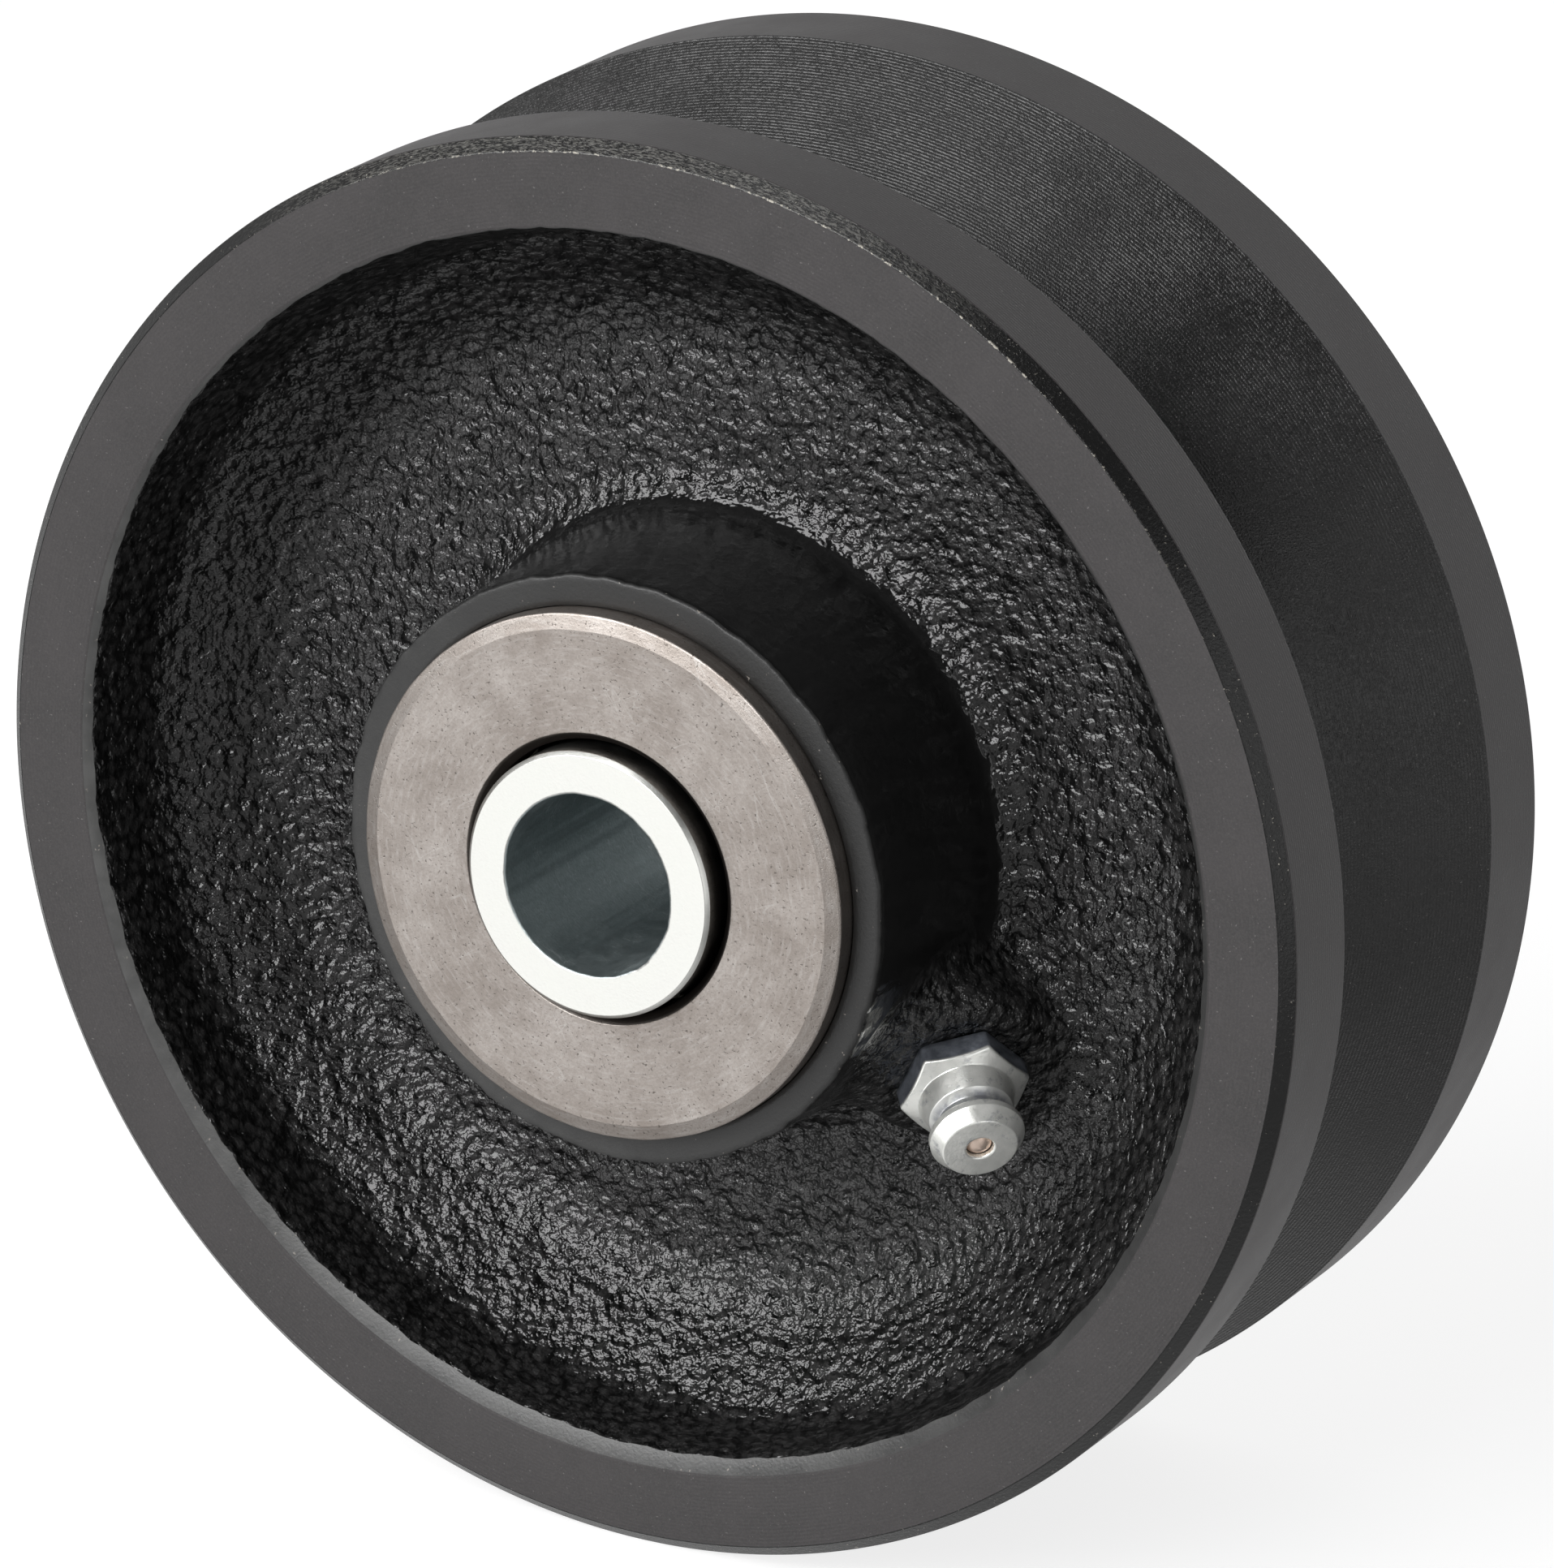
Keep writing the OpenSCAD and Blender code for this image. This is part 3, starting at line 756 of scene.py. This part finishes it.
def build_casting(materials):
    """The casting's skin: front half, rim, then the rear half in the opposite order."""
    angles = np.linspace(0, 2 * math.pi, COLUMNS, endpoint=False)
    rim = rim_rows()
    rim_zones = [zone for _, zone in rim]
    rows, zones = recess_half(1, angles)
    rows += [polar(r, h, angles) for (r, h), _ in rim]
    zones += rim_zones
    rows += [polar(r, -h, angles) for (r, h), _ in reversed(rim)]
    zones += rim_zones[-2::-1] + [FACE]
    rear_rows, rear_zones = recess_half(-1, angles)
    rows += rear_rows[::-1]
    zones += rear_zones[-2::-1] + [HUB_FACE]
    last = len(rows) - 1
    return ring_mesh("casting_shell", np.stack(rows), materials, zones, sharp_rows=(0, 1, last, last - 1))


# ------------------------------------------------------------ turned pieces

def turned_piece(name, section, material, wobble):
    """A closed ring turned from its (r, h) section, with each row's radius made a little uneven."""
    angles = np.linspace(0, 2 * math.pi, TURNED_COLUMNS, endpoint=False)
    rows = [polar(wobble(r, h, angles), h, angles) for r, h in section]
    return ring_mesh(name, np.stack(rows), [material], [0] * len(section))


def beveled(corners, radii):
    """A closed section with each corner rounded and supported on both sides."""
    out = []
    count = len(corners)
    for k in range(count):
        before = np.array(corners[k - 1], float)
        here = np.array(corners[k], float)
        after = np.array(corners[(k + 1) % count], float)
        out += edge_rows(before, here, after, radii[k])
    return out


def build_washer(side, material):
    """A retaining washer, in front for side 1 and behind for side -1, with its dented bevel."""
    wide, deep = WASHER_BEVEL
    corners = [
        (WASHER_HOLE_R, SEAT_H),
        (WASHER_R, SEAT_H),
        (WASHER_R, WASHER_H - deep),
        (WASHER_R - wide, WASHER_H),
        (WASHER_HOLE_R + WASHER_HOLE_CHAMFER, WASHER_H),
        (WASHER_HOLE_R, WASHER_H - WASHER_HOLE_CHAMFER),
    ]
    section = [(r, side * h) for r, h in beveled(corners, [0.08, 0.08, 0.1, 0.06, 0.06, 0.05])]
    name = "front_washer" if side > 0 else "rear_washer"

    def wobble(radius, height, angles):
        """Small dents round the bevelled edge."""
        dent = ragged(angles, WASHER_R - wide, 2.2, 5.0 + side)
        outer = radius > WASHER_R - 1.5 and abs(height) > WASHER_H - 0.4
        return radius + 0.035 * dent * outer

    return turned_piece(name, section, material, wobble)


def build_bushing(material):
    """The spanner bushing, with a chamfer at each end and a burr round the axle hole."""
    end = BUSHING_H
    cut = BUSHING_CHAMFER
    rim = BUSHING_R
    corners = [(AXLE_R, -end), (rim - cut, -end), (rim, cut - end)]
    corners += [(rim, end - cut), (rim - cut, end), (AXLE_R, end)]
    section = beveled(corners, [0.1, 0.04, 0.04, 0.04, 0.04, 0.1])

    def wobble(radius, height, angles):
        """A burr round the mouth of the axle hole, with one larger bite."""
        burr = ragged(angles, AXLE_R, 1.2, 31.0)
        bite = np.exp(-((np.angle(np.exp(1j * (angles - BITE_ANGLE))) / BITE_WIDTH) ** 2))
        mouth = radius < AXLE_R + 0.7 and abs(height) > end - 0.5
        return radius - (0.05 * burr + 0.12 * bite * burr) * mouth

    return turned_piece("bushing_shell", section, material, wobble)


def hexagon_edge():
    """Angles round the fitting and the hexagon's radius at each, with its corners eased."""
    angles = []
    for side in range(6):
        start = HEX_TURN + 60 * side
        angles += list(np.linspace(start + 1.2, start + 58.8, 16))
        angles.append(start + 60)
    turn = (np.array(angles) - HEX_TURN) % 60 - 30
    radius = HEX_R / np.cos(np.radians(turn))
    return np.radians(angles), np.minimum(radius, HEX_CORNER_R - HEX_EASE)


def build_fitting(material):
    """The grease fitting: hexagon with cone-cut corners, collar, neck and nipple."""
    angles, hexagon = hexagon_edge()
    flat = np.ones(len(angles))

    def cone(radius):
        """Height of the cone that cuts the hexagon's corners, at a radius."""
        return HEX_H + HEX_CONE_H * (HEX_CORNER_R - radius) / (HEX_CORNER_R - COLLAR_R)

    end = -THREAD_L * flat
    foot = 0.02 * flat
    rows = [(OUTLET_R * flat, end), (SHANK_R * flat, end), (SHANK_R * flat, foot)]
    rows += [(hexagon - inward, foot) for inward in (0.3, 0.12)]
    rows += [(hexagon, height * flat) for height in (0.12, 0.5)]
    rows += [(hexagon, cone(hexagon) - below) for below in (0.16, 0.06)]
    rows += [(hexagon - inward, cone(hexagon - inward)) for inward in (0.06, 0.18)]
    path = [(CONE_FOOT_R, cone(CONE_FOOT_R)), *NIPPLE, (OUTLET_R, NIPPLE[-1][1])]
    for before, here, after in zip(path, path[1:], path[2:]):
        for radius, height in edge_rows(before, here, after, 0.08):
            rows.append((radius * flat, height * flat))
    rows.append((path[-1][0] * flat, path[-1][1] * flat))
    centre, axis, across, third = fitting_frame()
    out = across * np.cos(angles)[:, None] + third * np.sin(angles)[:, None]
    grid = np.stack([centre + r[:, None] * out + h[:, None] * axis for r, h in rows])
    return ring_mesh("grease_fitting_shell", grid, [material], [0] * len(rows))


# ------------------------------------------------------------------- studio

def build_lights():
    """The soft lights, each turned towards the wheel's centre and hidden from the camera."""
    for name, (direction, distance, width, height, radiance) in LIGHTS.items():
        light = bpy.data.lights.new(name, "AREA")
        light.shape = "RECTANGLE"
        light.size = width
        light.size_y = height
        light.energy = radiance * width * height * math.pi
        holder = bpy.data.objects.new(name, light)
        bpy.context.scene.collection.objects.link(holder)
        back = Vector(direction).normalized()
        turn = back.to_track_quat("Z", "Y").to_matrix().to_4x4()
        holder.matrix_world = Matrix.Translation(back * distance) @ turn
        holder.visible_camera = False


def build_world():
    """White to the camera; what surfaces see is a grey room with one dark side."""
    world = bpy.data.worlds.new("studio")
    world.use_nodes = True
    tree = world.node_tree
    path = tree.nodes.new("ShaderNodeLightPath")
    place = tree.nodes.new("ShaderNodeTexCoord").outputs["Generated"]
    split = tree.nodes.new("ShaderNodeSeparateXYZ")
    shade = tree.nodes.new("ShaderNodeVectorMath")
    shade.operation = "DOT_PRODUCT"
    shade.inputs[1].default_value = DARK_SIDE
    tree.links.new(place, split.inputs[0])
    tree.links.new(place, shade.inputs[0])

    def ramp(value, *numbers):
        made = tree.nodes.new("ShaderNodeMapRange")
        tree.links.new(value, made.inputs[0])
        for socket, number in zip(made.inputs[1:5], numbers):
            socket.default_value = number
        return made.outputs[0]

    def total(a, b):
        made = tree.nodes.new("ShaderNodeMath")
        made.operation = "ADD"
        tree.links.new(a, made.inputs[0])
        tree.links.new(b, made.inputs[1])
        return made.outputs[0]

    # Grey that falls away inside the dark side, plus some light from behind and from below
    side = ramp(shade.outputs["Value"], 0.84, 0.97, 0.40, 0.04)
    behind = ramp(split.outputs["Y"], 0.0, 0.6, 0.0, 0.2)
    below = ramp(split.outputs["Z"], -0.9, -0.55, 0.35, 0.0)
    level = tree.nodes.new("ShaderNodeMix")
    tree.links.new(path.outputs["Is Camera Ray"], level.inputs["Factor"])
    tree.links.new(total(side, total(behind, below)), level.inputs["A"])
    level.inputs["B"].default_value = 1.0
    background = tree.nodes["Background"]
    tree.links.new(level.outputs[0], background.inputs["Strength"])
    background.inputs["Color"].default_value = (1.0, 1.0, 1.0, 1)
    bpy.context.scene.world = world


def build_floor():
    """A plain pale floor that touches the wheel's lowest point."""
    low = CAD_BOX[0][2]
    half = FLOOR_HALF
    corners = [(-half, -half, low), (half, -half, low), (half, half, low), (-half, half, low)]
    mesh = bpy.data.meshes.new("floor")
    mesh.from_pydata(corners, [], [(0, 1, 2, 3)])
    floor = bpy.data.objects.new("floor", mesh)
    bpy.context.scene.collection.objects.link(floor)
    s = Shader("pale_floor", Roughness=0.9)
    s.set("Base Color", s.mix(s.noise(40.0, 2), (0.24, 0.24, 0.24), (0.26, 0.26, 0.26)))
    s.set("Emission Color", (1.0, 1.0, 1.0))
    s.set("Emission Strength", 0.80)
    mesh.materials.append(s.material)
    floor.visible_glossy = False


def build_camera():
    """A long lens in front of the wheel, a little to the right of its axle and above it."""
    azimuth = math.radians(CAMERA_AZIMUTH)
    elevation = math.radians(CAMERA_ELEVATION)
    right = Vector((math.cos(azimuth), math.sin(azimuth), 0))
    back = Vector((
        math.sin(azimuth) * math.cos(elevation),
        -math.cos(azimuth) * math.cos(elevation),
        math.sin(elevation),
    ))
    up = back.cross(right)
    data = bpy.data.cameras.new("camera")
    data.sensor_width = 36
    data.lens = CAMERA_LENS
    camera = bpy.data.objects.new("camera", data)
    bpy.context.scene.collection.objects.link(camera)
    turn = Matrix((right, up, back)).transposed().to_4x4()
    place = right * CAMERA_RIGHT - up * CAMERA_DOWN + back * CAMERA_DISTANCE
    camera.matrix_world = Matrix.Translation(place) @ turn
    bpy.context.scene.camera = camera


def wear(node, material):
    """Gives every slot of a CAD node one material."""
    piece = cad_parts[node]
    if not piece.material_slots:
        piece.data.materials.append(material)
    for slot in piece.material_slots:
        slot.material = material


def build_wheel():
    """Builds the visible skins, and gives the CAD nodes that stay their materials."""
    face = turned_paint(
        "turned_paint", base=(0.018, 0.016, 0.0165), dust_and_sheen=(0.04, 0.036, 0.036),
        pitch=0.28, depth=0.014, roughness=0.43, lined=0.5,
    )
    groove = turned_paint(
        "groove_paint", base=(0.0045, 0.0045, 0.0045), dust_and_sheen=(0.024, 0.023, 0.023),
        pitch=0.34, depth=0.03, roughness=0.24,
    )
    hub_face = plain_paint("hub_face_paint", dark=0.016, light=0.028, bump_depth=0.03, roughness=0.46)
    bevel = plain_paint("bevel_paint", dark=0.035, light=0.055, bump_depth=0.02, roughness=0.34)
    casting = build_casting([cast_gloss(), face, groove, worn_edge(), hub_face, bevel])
    steel = washer_steel()
    parts = [
        (casting, "wheel", "wheel_casting", "cast_paint"),
        (build_washer(1, steel), "wheel", "front_retaining_washer", "washer_steel"),
        (build_washer(-1, steel), "wheel", "rear_retaining_washer", "washer_steel"),
        (build_bushing(zinc_plating()), "bushing", "spanner_bushing", "zinc"),
        (build_fitting(fitting_plating()), "wheel", "grease_fitting", "zinc"),
    ]
    for piece, body, node, slot in parts:
        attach(piece, body)
        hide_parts(node)
    ground = bearing_steel()
    cage = cage_steel()
    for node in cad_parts:
        if node.startswith("roller_"):
            wear(node, ground)
        if node.startswith("cage_"):
            wear(node, cage)
    wear("check_ball", copper())
    wear("check_spring", ground)


build_camera()
build_lights()
build_world()
build_floor()
bpy.context.scene.view_settings.view_transform = "Standard"
bpy.context.scene.view_settings.look = "None"
build_wheel()
